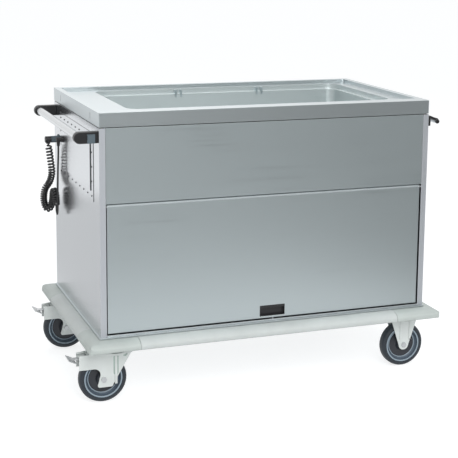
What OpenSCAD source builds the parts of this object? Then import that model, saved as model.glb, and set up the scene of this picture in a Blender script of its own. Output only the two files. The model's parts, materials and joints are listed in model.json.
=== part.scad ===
// Heated food-serving trolley: a three-pan heated well over a closed cupboard with a
// lift-up flap, on two braked swivel castors and two fixed ones. The front faces -Y, +Z is
// up, +X is to the right; the origin is on the floor under the middle of the whole trolley.

/* [Body] */
// Length of the worktop, along X
body_l = 1258; // [1150:1:1500]
// Width of the worktop, along Y
body_w = 742; // [700:1:850]
// Height of the worktop above the floor
overall_h = 1040; // [980:5:1150]
// Thickness of the folded sheet
sheet = 2; // [1.5:0.5:3]
// Height of the turned-down apron of the worktop
apron_h = 50; // [40:1:60]
// Shadow gap between the apron and the panels
apron_gap = 3; // [2:0.5:5]
// How far the panels stand back from the apron
panel_inset = 1; // [0.5:0.5:3]
// Height of the cabinet's lower edge above the floor
cabinet_z = 250; // [245:1:270]
// Height of the thin flange under the panels
flange_h = 6; // [4:1:8]
// How far the flange stands out beyond the panels
flange_out = 5; // [3:1:7]
// Width of the stiles beside the flap, and of the panels' rear returns
stile_w = 22; // [18:1:30]
// Depth of the returns behind the stiles
stile_d = 30; // [28:1:40]

/* [Worktop and well] */
// Width of the raised rim along the front
rim_front = 64; // [50:1:75]
// Width of the raised rim along the ends and the back
rim_side = 24; // [18:1:30]
// Height of the step down inside the rim
rim_step = 16; // [10:1:20]
// From the left end to the well
well_left = 150; // [140:1:180]
// From the right end to the well
well_right = 68; // [60:1:100]
// From the front to the well
well_front = 172; // [150:1:190]
// From the back to the well
well_back = 30; // [28:1:60]
// Corner radius of the well
well_r = 50; // [40:1:70]
// Depth of the pocket in which the pans' rims lie
pocket_h = 20; // [12:1:24]
// Width of the ledge that carries the pans' rims
ledge_w = 13; // [10:1:18]
// Depth of the basin below the ledge
basin_h = 200; // [150:5:220]
// Number of pans side by side
pans = 3; // [2:1:4]
// Height of each bar hook above the ledge
hook_h = 16; // [12:1:19]
// Thickness of the insulation under and around the basin
insulation_t = 25; // [15:1:30]

/* [Flap] */
// Height of the flap's top edge above the floor
flap_top_z = 722; // [680:1:730]
// Height of the sill in front of the cupboard floor
sill_h = 6; // [4:1:10]
// Gap under the flap
flap_gap_low = 6; // [4:1:8]
// Gap at the left of the flap
flap_gap_l = 3; // [2:0.5:6]
// Gap at the right of the flap
flap_gap_r = 7; // [3:0.5:9]
// Gap between the flap's rolled edge and the fixed panel
flap_gap_top = 1.5; // [1:0.5:3]
// Thickness of the flap
flap_t = 20; // [16:1:24]
// Diameter of the hinge pins
pin_d = 8; // [6:1:10]
// Width of the recessed pull
pull_w = 97; // [80:1:120]
// Height of the recessed pull
pull_h = 40; // [30:1:50]
// Depth of the recessed pull
pull_d = 15; // [10:1:16]
// From the flap's lower edge to the pull
pull_up = 7; // [5:1:20]

/* [Handles] */
// Depth of the handles' axes below the worktop
handle_drop = 85; // [78:1:100]
// Reach of the push handle's axis from the left end
push_reach = 62; // [55:1:80]
// Diameter of the push handle
push_d = 28; // [24:1:32]
// Height of the push handle's arms
arm_h = 40; // [36:1:50]
// Thickness of the push handle's arms
arm_t = 26; // [22:1:32]
// From the corners of the body to the arms
arm_in = 12; // [8:1:30]
// Reach of the pull rail's axis from the right end
rail_reach = 41; // [38:1:60]
// Diameter of the pull rail
rail_d = 16; // [15:1:22]

/* [Bumper] */
// Height of the bumper
bumper_h = 36; // [28:1:38]
// How far the bumper stands out
bumper_out = 54; // [44:1:60]
// Length of each corner moulding from the corner of the body
corner_run = 130; // [90:1:160]
// Gap at the joints of the bumper
bumper_gap = 1; // [0.5:0.5:2]

/* [Castors] */
// Diameter of the wheels
wheel_d = 172; // [150:1:174]
// Width of the wheels
wheel_w = 40; // [32:1:44]
// Height of the castors, floor to top plate
castor_h = 200; // [198:1:210]
// From the left end to the swivel axes
swivel_in = 64; // [55:1:90]
// Trail of the swivel wheels behind their axes
trail = 46; // [35:1:50]
// From the right end to the fixed wheels' axles
fixed_in = 58; // [50:1:90]
// From the sides to the middle of the wheels
track_in = 59; // [57:1:90]
// Diameter of the axles
axle_d = 12; // [10:1:14]
// Reach of the brake pedals beyond the left end
pedal_reach = 108; // [100:1:125]
// Width of the brake pedals
pedal_w = 68; // [60:1:90]

/* [Hidden] */

// The whole trolley's reach beyond the body decides where the middle is
left_reach = max(pedal_reach, push_reach + arm_h / 2, bumper_out);
right_reach = max(rail_reach + rail_d / 2, bumper_out);
x_mid = (left_reach - right_reach) / 2;
end_l = x_mid - body_l / 2;
end_r = x_mid + body_l / 2;
front_y = -body_w / 2;
back_y = body_w / 2;

// Worktop and well levels
fit = 0.3;
top_z = overall_h;
land_z = top_z - rim_step;
ledge_z = land_z - pocket_h;
basin_z = ledge_z - basin_h;
well_l = end_l + well_left;
well_r_end = end_r - well_right;
well_len = well_r_end - well_l;
well_mid = (well_l + well_r_end) / 2;
well_f = front_y + well_front;
well_b = back_y - well_back;
well_cy = (well_f + well_b) / 2;
well_wide = well_b - well_f;
basin_len = well_len - 2 * ledge_w;
basin_wide = well_wide - 2 * ledge_w;
basin_r = well_r - ledge_w;
land_lap = rim_side < well_back ? well_back - rim_side - 2 : 4;
mat_t = 3;
seam = 0.1;
mat_gap = 30;
tray_z = basin_z - sheet - mat_t - insulation_t - 1;

// Panels
panel_l = end_l + panel_inset;
panel_r = end_r - panel_inset;
panel_f = front_y + panel_inset;
panel_b = back_y - panel_inset;
panel_top = top_z - apron_h - apron_gap;
panel_low = cabinet_z;
bumper_z = cabinet_z - flange_h - bumper_h;
apron_hang = apron_h - rim_step - sheet;

// Flap
flap_l = panel_l + stile_w + flap_gap_l;
flap_r = panel_r - stile_w - flap_gap_r;
flap_low = cabinet_z + sill_h + flap_gap_low;
hinge_y = panel_f + flap_t / 2;
hinge_z = flap_top_z - flap_t / 2;
pull_x = (end_l + end_r) / 2 + 11;
pin_in = 40;
bush_wall = 5;
run_fit = 0.05;
front_low = flap_top_z + flap_gap_top;

// Handles
push_x = end_l - push_reach;
push_z = top_z - handle_drop;
arm_front = front_y + arm_in;
arm_back = back_y - arm_in;
rail_x = end_r + rail_reach;
rail_z = push_z + 2;
plate_t = 18;
rail_plug = 5;

// Service cover on the left end
cover_in = 86;
cover_front = front_y + cover_in;
cover_len = body_w - cover_in - 108;
cover_top = panel_top - 29;
cover_h = 242;
cover_t = 1.5;
cover_rise = 3;
cover_edge = 34;
screw_d = 6;

// Castors
wheel_r = wheel_d / 2;
plate_len = 114;
plate_wide = 110;
castor_plate_t = 4;
swivel_x = end_l + swivel_in;
wheel_x = swivel_x - trail;
fixed_x = end_r - fixed_in;
near_y = front_y + track_in;
far_y = back_y - track_in;
fork_gap = 3;
fork_t = 3;
fork_in = wheel_w / 2 + fork_gap;
frame_h = cabinet_z - castor_h;

// Cord, chosen by hand along its hang: drop from the plug, one loop, a short second
// hang, and a straight tail up to the gland. Points from the left end, the back and the
// worktop's top.
curl_d = 28;
curl_sides = 10;
tail_d = 8;
tail_sides = 8;
plug_y = back_y - 71;
plug_drop = 193;
gland_y = back_y - 170;
gland_drop = 178;
curl_route = [
  [-39, -71, -210], [-32, -67, -262], [-25, -60, -325], [-33, -54, -364], [-51, -52, -392],
  [-57, -55, -432], [-49, -62, -465], [-35, -69, -463], [-27, -76, -432], [-26, -84, -402],
  [-24, -98, -392], [-21, -114, -405], [-21, -118, -430], [-21, -118, -452]
];
tail_route = [
  [-21, -118, -448], [-21, -119, -466], [-21, -131, -477], [-22, -145, -470], [-22, -150, -445],
  [-22, -154, -380], [-21, -159, -300], [-20, -166, -240], [-20, -170, -203]
];

// A plate lying flat with round upright corners
module round_plate(l, w, h, r) {
  linear_extrude(h) {
    square([l - 2 * r, w], center = true);
    square([l, w - 2 * r], center = true);
    for (sx = [-1, 1]) {
      for (sy = [-1, 1]) {
        translate([sx * (l / 2 - r), sy * (w / 2 - r)]) circle(r, $fn = 48);
      }
    }
  }
}

// A block given by its lowest and highest corners
module block(a, b) {
  translate(a) cube(b - a);
}

// A straight round bar between two points along one axis
module bar_x(x0, x1, y, z, d) {
  translate([x0, y, z]) rotate([0, 90, 0]) cylinder(h = x1 - x0, d = d, $fn = 48);
}
module bar_y(x, y0, y1, z, d) {
  translate([x, y1, z]) rotate([90, 0, 0]) cylinder(h = y1 - y0, d = d, $fn = 48);
}

// A tube swept along route points, closed at both ends
function bend(a, b, c, d, t) = 0.5 * (2 * b + (c - a) * t + (2 * a - 5 * b + 4 * c - d) * t * t
  + (3 * b - 3 * c + d - a) * t * t * t);
function eased(p, n) = concat([for (i = [0:len(p) - 2]) for (k = [0:n - 1])
  bend(p[max(i - 1, 0)], p[i], p[i + 1], p[min(i + 2, len(p) - 1)], k / n)], [p[len(p) - 1]]);
function unit(v) = v / norm(v);
function along(p, i) = unit(p[min(i + 1, len(p) - 1)] - p[max(i - 1, 0)]);
function across(t) = unit(cross(t, [0.1, 1, 0.05]));
module swept_tube(p, d, n) {
  rings = [for (i = [0:len(p) - 1]) let (t = along(p, i), u = across(t), v = cross(t, u))
    for (k = [0:n - 1]) p[i] + d / 2 * (cos(360 * k / n) * u + sin(360 * k / n) * v)];
  walls = [for (i = [0:len(p) - 2]) for (k = [0:n - 1])
    [i * n + k, i * n + (k + 1) % n, (i + 1) * n + (k + 1) % n, (i + 1) * n + k]];
  first_cap = [[for (k = [0:n - 1]) n - 1 - k]];
  last_cap = [[for (k = [0:n - 1]) (len(p) - 1) * n + k]];
  polyhedron(points = rings, faces = concat(walls, first_cap, last_cap), convexity = 10);
}

// ---- Worktop: one folded sheet, a raised rim stepping down to the land around the well
module step_plate(z, h, grow, r) {
  x0 = end_l + rim_side - grow;
  x1 = end_r - rim_side + grow;
  y0 = front_y + rim_front - grow;
  y1 = back_y - rim_side + grow;
  translate([(x0 + x1) / 2, (y0 + y1) / 2, z]) round_plate(x1 - x0, y1 - y0, h, r);
}
module worktop() {
  mid_x = (end_l + end_r) / 2;
  in_l = body_l - 2 * sheet;
  in_w = body_w - 2 * sheet;
  color("gainsboro") difference() {
    translate([mid_x, 0, top_z - apron_h]) round_plate(body_l, body_w, apron_h, 5);
    translate([mid_x, 0, top_z - apron_h - 1]) round_plate(in_l, in_w, apron_hang + 1, 3);
    difference() {
      translate([mid_x, 0, land_z - sheet - 1]) round_plate(in_l, in_w, rim_step + 1, 3);
      step_plate(land_z - sheet - 2, rim_step + 4, sheet, 10);
    }
    step_plate(land_z, rim_step + 1, 0, 8);
    translate([well_mid, well_cy, land_z - sheet - 5]) round_plate(well_len, well_wide, 10, well_r);
    apron_slits();
  }
}
slit_w = 5;
slit_h = 16;
slit_in = 128;
module apron_slits() {
  for (side = [-1, 1]) {
    translate([end_l, side * (body_w / 2 - slit_in), top_z - apron_h / 2]) rotate([0, 90, 0])
      linear_extrude(10, center = true) {
        square([slit_h, slit_w], center = true);
        translate([-slit_h / 2, 0]) circle(d = slit_w, $fn = 24);
        translate([slit_h / 2, 0]) circle(d = slit_w + 2, $fn = 24);
      }
  }
}

// ---- Pan frame: the upright wall of the pocket, with a flange under the land, and the
// places of the bar hooks
hook_w = 8;
hook_gap = 14;
hook_drop = 13;
module at_hooks() {
  for (i = [1:pans - 1]) {
    for (side = [0, 1]) {
      for (k = [-1, 1]) {
        translate([well_l + well_len * i / pans + k * (hook_gap + hook_w) / 2, well_cy, ledge_z])
          mirror([0, side, 0]) children();
      }
    }
  }
}
module pan_frame() {
  color("silver") translate([well_mid, well_cy, 0]) difference() {
    union() {
      translate([0, 0, ledge_z - sheet])
        round_plate(well_len + 2 * sheet, well_wide + 2 * sheet, pocket_h, well_r + sheet);
      translate([0, 0, land_z - 2 * sheet])
        round_plate(well_len + 2 * land_lap, well_wide + 2 * land_lap, sheet, well_r + land_lap);
    }
    translate([0, 0, ledge_z - sheet - 1])
      round_plate(well_len, well_wide, pocket_h + sheet + 5, well_r);
  }
}

// ---- Well: the basin's walls with the ledge on which the pans' rims rest, welded inside
// the frame and notched for the bar hooks, and its floor let in between the walls
module well_basin() {
  color("silver") {
    difference() {
      translate([well_mid, well_cy, 0]) difference() {
        union() {
          translate([0, 0, ledge_z - sheet])
            round_plate(well_len - 2 * seam, well_wide - 2 * seam, sheet, well_r - seam);
          translate([0, 0, basin_z - sheet]) round_plate(basin_len + 2 * sheet,
            basin_wide + 2 * sheet, basin_h, basin_r + sheet);
        }
        translate([0, 0, basin_z - sheet - 1])
          round_plate(basin_len, basin_wide, basin_h + sheet + 5, basin_r);
      }
      at_hooks() block([-hook_w / 2 - fit, basin_wide / 2 - 1, -sheet - 1],
                       [hook_w / 2 + fit, well_wide / 2, 1]);
    }
    translate([well_mid, well_cy, basin_z - sheet]) round_plate(basin_len - 2 * seam,
      basin_wide - 2 * seam, sheet, basin_r - seam);
  }
}

// ---- Bar hooks: pairs of bent tabs in the ledge's notches that take the ends of the
// bars between the pans
module bar_hooks() {
  color("silver") at_hooks() {
    block([-hook_w / 2, basin_wide / 2 - sheet, -sheet], [hook_w / 2, well_wide / 2, hook_h]);
    block([-hook_w / 2, basin_wide / 2 - sheet, -hook_drop], [hook_w / 2, basin_wide / 2, 0]);
  }
}

// ---- Heating mats: one flat silicone mat glued under each pan's place
module heating_mats() {
  mat_len = basin_len / pans - mat_gap;
  color("darkred") for (i = [0:pans - 1]) {
    x = well_mid - basin_len / 2 + basin_len * (i + 0.5) / pans;
    translate([x, well_cy, basin_z - sheet - mat_t])
      round_plate(mat_len, basin_wide - 2 * mat_gap, mat_t, 12);
  }
}

// ---- Insulation: a slab tray of mineral wool board around the basin
module insulation() {
  skin = 0.5;
  top = ledge_z - 2 * sheet - skin;
  color("khaki") translate([well_mid, well_cy, 0]) difference() {
    translate([0, 0, tray_z]) round_plate(basin_len + 2 * sheet + 2 * insulation_t,
      basin_wide + 2 * sheet + 2 * insulation_t, top - tray_z, basin_r + insulation_t);
    translate([0, 0, basin_z - sheet - mat_t - skin])
      round_plate(basin_len + 2 * sheet + 2 * skin, basin_wide + 2 * sheet + 2 * skin,
        top - tray_z, basin_r + sheet + skin);
  }
}

// ---- Well tray: the sheet under the insulation, which is also the cupboard's ceiling
tray_back = 14;
tray_lip = 30;
module well_tray() {
  x0 = panel_l + sheet + fit;
  x1 = panel_r - sheet - fit;
  y0 = panel_f + stile_d + tray_back;
  y1 = panel_b - sheet - fit;
  color("lightgray") difference() {
    block([x0, y0, tray_z - sheet], [x1, y1, tray_z + tray_lip]);
    block([x0 + sheet, y0 + sheet, tray_z], [x1 - sheet, y1 - sheet, tray_z + tray_lip + 1]);
  }
}

// ---- End panels: a sheet with a boxed stile at the front and a return at the rear
module end_panel(outer, inward) {
  s = inward;
  module wall(x0, x1, y0, y1) {
    block([min(outer + s * x0, outer + s * x1), y0, panel_low],
          [max(outer + s * x0, outer + s * x1), y1, panel_top]);
  }
  hole_a = outer + s * (stile_w - sheet - 1);
  hole_b = outer + s * (stile_w + 1);
  difference() {
    union() {
      wall(0, sheet, panel_f, panel_b);
      wall(0, stile_w, panel_f, panel_f + sheet);
      wall(stile_w - sheet, stile_w, panel_f, panel_f + stile_d);
      wall(0, stile_w, panel_b - sheet, panel_b);
    }
    bar_x(min(hole_a, hole_b), max(hole_a, hole_b), hinge_y, hinge_z, pin_d + 1);
  }
}
window_in = 5;
module left_end_panel() {
  color("silver") difference() {
    end_panel(panel_l, 1);
    block([panel_l - 1, cover_front + cover_edge + window_in, cover_low + cover_edge + window_in],
          [panel_l + sheet + 1, cover_back - cover_edge - window_in, cover_top - cover_edge]);
    cover_screw_places() rotate([0, 90, 0]) cylinder(h = 20, d = screw_d - 2, center = true, $fn = 24);
  }
}
module right_end_panel() {
  color("silver") end_panel(panel_r, -1);
}

// ---- Front panel: the fixed panel over the flap, with folded top and bottom edges
front_depth = 18;
module front_panel() {
  x0 = panel_l + stile_w + fit;
  x1 = panel_r - stile_w - fit;
  color("darkgray") {
    block([x0, panel_f, front_low], [x1, panel_f + sheet, panel_top]);
    block([x0, panel_f, front_low], [x1, panel_f + front_depth, front_low + sheet]);
    block([x0, panel_f, panel_top - sheet], [x1, panel_f + front_depth, panel_top]);
  }
}

// ---- Rear panel: one plain sheet between the rear returns, with the controls' cut-outs
rocker_dx = 34;
rocker_w = 22;
control_x = well_l + ledge_w - sheet - insulation_t - rocker_dx - rocker_w / 2 - 6;
control_z = panel_top - 95;
knob_dx = -28;
rocker_h = 30;
shaft_d = 6;
module rear_panel() {
  color("silver") difference() {
    block([panel_l + stile_w + fit, panel_b - sheet, panel_low],
          [panel_r - stile_w - fit, panel_b, panel_top]);
    bar_y(control_x + knob_dx, panel_b - 10, panel_b + 10, control_z, 10);
    block([control_x + rocker_dx - rocker_w / 2, panel_b - 10, control_z - rocker_h / 2],
          [control_x + rocker_dx + rocker_w / 2, panel_b + 10, control_z + rocker_h / 2]);
  }
}

// ---- Cupboard floor: a tray on the base frame, its front edge folded up as the sill
module cupboard_floor() {
  x0 = panel_l + stile_w + fit;
  x1 = panel_r - stile_w - fit;
  z0 = cabinet_z;
  color("lightgray") {
    block([x0, panel_f, z0], [x1, panel_b - sheet - fit, z0 + sheet]);
    block([x0, panel_f, z0], [x1, panel_f + sheet, z0 + sill_h]);
    block([panel_l + sheet + fit, panel_f + stile_d + fit, z0],
          [panel_r - sheet - fit, panel_b - sheet - fit, z0 + sheet]);
  }
}

// ---- Base frame: two welded cross boxes over the castors joined by two long tubes
box_w = 160;
tube_w = 40;
tube_t = 3;
module hollow_box(a, b) {
  difference() {
    block(a, b);
    block(a + [tube_t, tube_t, tube_t], b - [tube_t, tube_t, tube_t]);
  }
}
module base_frame() {
  z0 = castor_h;
  z1 = cabinet_z;
  color("silver") {
    difference() {
      block([panel_l - flange_out, panel_f - flange_out, z1 - flange_h],
            [panel_r + flange_out, panel_b + flange_out, z1]);
      block([panel_l, panel_f, z1 - flange_h - 1], [panel_r, panel_b, z1 + 1]);
    }
    hollow_box([panel_l, panel_f, z0], [panel_l + box_w, panel_b, z1]);
    hollow_box([panel_r - box_w, panel_f, z0], [panel_r, panel_b, z1]);
    for (y0 = [panel_f, panel_b - tube_w]) {
      hollow_box([panel_l + box_w - tube_t, y0, z0], [panel_r - box_w + tube_t, y0 + tube_w, z1]);
    }
  }
}

// ---- Hinge bushes: a bored block behind each stile that carries a hinge pin
bush_l = 12;
module hinge_bush(x0, x1) {
  r = pin_d / 2 + bush_wall;
  difference() {
    block([x0, hinge_y - r + 2, hinge_z - r - 4], [x1, panel_f + stile_d - sheet, hinge_z + r]);
    bar_x(x0 - 1, x1 + 1, hinge_y, hinge_z, pin_d + 2 * run_fit);
  }
}
module hinge_bushes() {
  color("dimgray") {
    hinge_bush(panel_l + sheet, panel_l + stile_w - sheet);
    hinge_bush(panel_r - stile_w + sheet, panel_r - sheet);
  }
}

// ---- Flap: outer skin with a rolled top edge, inner skin, recessed pull and hinge pins
module flap_skin() {
  r = flap_t / 2;
  color("darkgray") difference() {
    union() {
      bar_x(flap_l, flap_r, hinge_y, hinge_z, flap_t);
      block([flap_l, panel_f, flap_low], [flap_r, panel_f + flap_t, hinge_z]);
    }
    bar_x(flap_l + sheet, flap_r - sheet, hinge_y, hinge_z, flap_t - 2 * sheet);
    block([flap_l + sheet, panel_f + sheet, flap_low + sheet],
          [flap_r - sheet, panel_f + flap_t - sheet, hinge_z]);
    block([flap_l + 12, panel_f + flap_t / 2, flap_low + 12],
          [flap_r - 12, panel_f + flap_t + 1, hinge_z - r]);
    block([pull_x - pull_w / 2, panel_f - 1, flap_low + pull_up],
          [pull_x + pull_w / 2, panel_f + sheet + 1, flap_low + pull_up + pull_h]);
    bar_x(flap_l - 1, flap_r + 1, hinge_y, hinge_z, pin_d);
  }
}
module flap_inner() {
  y = panel_f + flap_t;
  color("lightgray")
    block([flap_l + 6, y, flap_low + 6], [flap_r - 6, y + 1.5, hinge_z - flap_t / 2 - 2]);
}
module flap_pull() {
  w = 2;
  x0 = pull_x - pull_w / 2;
  x1 = pull_x + pull_w / 2;
  z0 = flap_low + pull_up;
  z1 = z0 + pull_h;
  color("black") difference() {
    block([x0, panel_f, z0], [x1, panel_f + pull_d, z1]);
    difference() {
      block([x0 + w, panel_f - 1, z0 + w], [x1 - w, panel_f + pull_d - w, z1 - w]);
      block([x0, panel_f - 2, z1 - 10], [x1, panel_f + w, z1]);
    }
  }
}
module flap_pins() {
  color("gray") {
    bar_x(panel_l + sheet + 2, flap_l + pin_in, hinge_y, hinge_z, pin_d);
    bar_x(flap_r - pin_in, panel_r - sheet - 2, hinge_y, hinge_z, pin_d);
  }
}
// ---- Striker: the small tongue on the sill that the flap's magnet meets
module flap_striker() {
  color("gray") {
    block([pull_x + 2, panel_f + sheet, cabinet_z + sheet],
          [pull_x + 5, panel_f + flap_t - 4, flap_low - 1]);
    block([pull_x - 12, panel_f + sheet, cabinet_z + sheet],
          [pull_x + 19, panel_f + flap_t, cabinet_z + sheet + 1.5]);
  }
}

// ---- Push handle: a tube between two moulded arms, each with a pressed-in grey insert
module push_handle() {
  color("silver") bar_y(push_x, arm_front + arm_t - tube_seat, arm_back - arm_t + tube_seat,
    push_z, push_d);
}
tube_seat = 18;
insert_w = 28;
insert_h = 32;
insert_t = 2;
insert_in = 9;
module arm_insert(y_face, inward) {
  x1 = end_l - insert_in;
  y1 = y_face + inward * insert_t;
  block([x1 - insert_w, min(y_face, y1), push_z - insert_h / 2 - 4],
        [x1, max(y_face, y1), push_z + insert_h / 2 - 4]);
}
module push_arm(y_face, inward) {
  difference() {
    union() {
      bar_y(push_x, min(y_face, y_face + inward * arm_t), max(y_face, y_face + inward * arm_t),
        push_z, arm_h);
      block([push_x, min(y_face, y_face + inward * arm_t), push_z - arm_h / 2],
            [panel_l, max(y_face, y_face + inward * arm_t), push_z + arm_h / 2]);
    }
    bar_y(push_x, min(y_face + inward * (arm_t - tube_seat), y_face + inward * (arm_t + 1)),
      max(y_face + inward * (arm_t - tube_seat), y_face + inward * (arm_t + 1)), push_z, push_d);
    arm_insert(y_face, inward);
  }
}
module push_handle_arms() {
  color("black") {
    push_arm(arm_front, 1);
    push_arm(arm_back, -1);
  }
}
module arm_inserts() {
  color("slategray") {
    arm_insert(arm_front, 1);
    arm_insert(arm_back, -1);
  }
}

// ---- Pull rail: a slim tube under two hooked brackets, with a plug in each end
hook_w_y = 26;
hook_t = 3;
block_low = 17;
block_high = 21;
module pull_rail() {
  color("silver") difference() {
    bar_y(rail_x, arm_front, arm_back, rail_z, rail_d);
    bar_y(rail_x, arm_front - 1, arm_back + 1, rail_z, rail_d - 2 * sheet);
  }
}
module rail_hook(y0) {
  r = rail_d / 2;
  difference() {
    translate([0, y0 + hook_w_y, rail_z]) rotate([90, 0, 0]) linear_extrude(hook_w_y)
      polygon([[panel_r, -block_low], [panel_r + plate_t, -block_low],
               [panel_r + plate_t, r + 3], [rail_x - r - 2, r - 1], [rail_x - r + 1, 1],
               [rail_x + r + hook_t, 1], [rail_x + r + hook_t - 1, r - 2],
               [rail_x + 5, r + hook_t], [rail_x - 4, r + hook_t + 2],
               [panel_r + plate_t, block_high], [panel_r, block_high]]);
    bar_y(rail_x, y0 - 1, y0 + hook_w_y + 1, rail_z, rail_d);
  }
}
module rail_hooks() {
  color("black") {
    rail_hook(arm_front + 6);
    rail_hook(arm_back - 6 - hook_w_y);
  }
}
module rail_plugs() {
  bore = rail_d - 2 * sheet;
  color("black") {
    bar_y(rail_x, arm_front - rail_plug, arm_front, rail_z, rail_d);
    bar_y(rail_x, arm_front, arm_front + 15, rail_z, bore);
    bar_y(rail_x, arm_back, arm_back + rail_plug, rail_z, rail_d);
    bar_y(rail_x, arm_back - 15, arm_back, rail_z, bore);
  }
}

// ---- Service cover on the left end: a shallow pressed sheet over the wiring, screwed
// on all round
cover_back = cover_front + cover_len;
cover_low = cover_top - cover_h;
screw_in = 22;
screw_up = 18;
rows = 8;
cols = 4;
module cover_screw_places() {
  y0 = cover_front + screw_in;
  y1 = cover_back - screw_in;
  z0 = cover_low + screw_up;
  z1 = cover_top - screw_up;
  for (i = [0:rows]) {
    for (z = [z0, z1]) {
      translate([panel_l, y0 + (y1 - y0) * i / rows, z]) children();
    }
  }
  for (k = [1:cols - 1]) {
    for (y = [y0, y1]) {
      translate([panel_l, y, z0 + (z1 - z0) * k / cols]) children();
    }
  }
}
module service_cover() {
  face = panel_l - cover_t - cover_rise;
  field = cover_edge + 3;
  color("silver") difference() {
    union() {
      block([panel_l - cover_t, cover_front, cover_low], [panel_l, cover_back, cover_top]);
      block([face, cover_front + field, cover_low + cover_edge],
            [panel_l, cover_back - field, cover_top - cover_edge]);
    }
    block([face + cover_t, cover_front + field + cover_t, cover_low + cover_edge + cover_t],
          [panel_l + 1, cover_back - field - cover_t, cover_top - cover_edge - cover_t]);
    cover_screw_places() rotate([0, 90, 0])
      cylinder(h = 20, d = screw_d - 2, center = true, $fn = 24);
    translate([panel_l, gland_y, top_z - gland_drop]) rotate([0, 90, 0])
      cylinder(h = 20, d = gland_d, center = true, $fn = 48);
  }
}
module cover_screws() {
  color("dimgray") cover_screw_places() {
    translate([-cover_t - 2, 0, 0]) rotate([0, 90, 0]) cylinder(h = 2, d = screw_d, $fn = 24);
    translate([-cover_t, 0, 0]) rotate([0, 90, 0])
      cylinder(h = cover_t + sheet, d = screw_d - 2.1, $fn = 24);
  }
}

// ---- Terminal block: joins the mains lead to the mats' wires inside the left end
module terminal_block() {
  color("ivory") difference() {
    block([panel_l + 40, -45, tray_z], [panel_l + 80, 45, tray_z + 32]);
    for (i = [-2:2]) {
      translate([panel_l + 60, i * 16, tray_z + 20]) cylinder(h = 20, d = 7, $fn = 24);
    }
  }
}

// ---- Parking socket, plug, gland and the curly mains lead between them
gland_d = 16;
cover_face = panel_l - cover_t - cover_rise;
socket_d = 26;
socket_out = end_l - 28;
socket_rim = 38;
socket_bore = 19;
pin_l = 10;
head_d = 25;
head_out = end_l - 51;
strain_h = 17;
plug_z = top_z - plug_drop;
gland_z = top_z - gland_drop;
lead_x = end_l - 39;
module parking_socket() {
  color("slategray") difference() {
    union() {
      bar_x(socket_out, panel_l, plug_y, plug_z, socket_d);
      bar_x(panel_l - 3, panel_l, plug_y, plug_z, socket_rim);
    }
    bar_x(socket_out - 1, panel_l - 4, plug_y, plug_z, socket_bore);
  }
}
module plug() {
  tip = panel_l - 4;
  color("black") {
    bar_x(tip - pin_l, tip, plug_y, plug_z, 5);
    bar_x(socket_out, tip - pin_l, plug_y, plug_z, socket_bore - 2 * fit);
    bar_x(head_out, socket_out, plug_y, plug_z, head_d);
    translate([lead_x, plug_y, plug_z - strain_h]) cylinder(h = strain_h, d1 = 15, d2 = 20, $fn = 48);
  }
}
tail_x = end_l - 20;
elbow_h = 26;
module cord_gland() {
  color("black") {
    bar_x(cover_face - 6, cover_face, gland_y, gland_z, 24);
    bar_x(tail_x - 8, panel_l + 8, gland_y, gland_z, gland_d - 0.2);
    translate([tail_x, gland_y, gland_z - elbow_h]) cylinder(h = elbow_h, d1 = 11, d2 = 15, $fn = 48);
  }
}
function from_end(route) = [for (p = route) [end_l + p[0], back_y + p[1], top_z + p[2]]];
module cord_curl() {
  color("black") swept_tube(eased(from_end(curl_route), 3), curl_d, curl_sides);
}
module cord_tail() {
  color("black") swept_tube(eased(from_end(tail_route), 2), tail_d, tail_sides);
}

// ---- Controls on the rear panel: plate, thermostat knob and lighted rocker switch
plate_w = 120;
plate_h = 60;
control_plate_t = 2;
knob_d = 38;
knob_h = 20;
module control_plate() {
  y0 = panel_b;
  color("dimgray") difference() {
    block([control_x - plate_w / 2, y0, control_z - plate_h / 2],
          [control_x + plate_w / 2, y0 + control_plate_t, control_z + plate_h / 2]);
    bar_y(control_x + knob_dx, y0 - 1, y0 + 5, control_z, shaft_d + 2 * run_fit);
    block([control_x + rocker_dx - rocker_w / 2, y0 - 1, control_z - rocker_h / 2],
          [control_x + rocker_dx + rocker_w / 2, y0 + 5, control_z + rocker_h / 2]);
  }
}
module thermostat_knob() {
  y0 = panel_b + control_plate_t + 0.5;
  color("black") difference() {
    union() {
      bar_y(control_x + knob_dx, y0, y0 + knob_h, control_z, knob_d - 6);
      bar_y(control_x + knob_dx, y0, y0 + 4, control_z, knob_d);
      bar_y(control_x + knob_dx, panel_b - 20, y0 + 1, control_z, shaft_d);
    }
    block([control_x + knob_dx - 1, y0 + knob_h - 1, control_z],
          [control_x + knob_dx + 1, y0 + knob_h + 1, control_z + knob_d]);
  }
}
rocker_set = 8;
module rocker_switch() {
  color("darkgreen") difference() {
    bar_x(control_x + rocker_dx - rocker_w / 2 + fit, control_x + rocker_dx + rocker_w / 2 - fit,
      panel_b - rocker_set, control_z, rocker_h - 1);
    block([control_x, panel_b - 60, control_z - 30], [control_x + 80, panel_b - rocker_set, control_z + 30]);
  }
}

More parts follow.
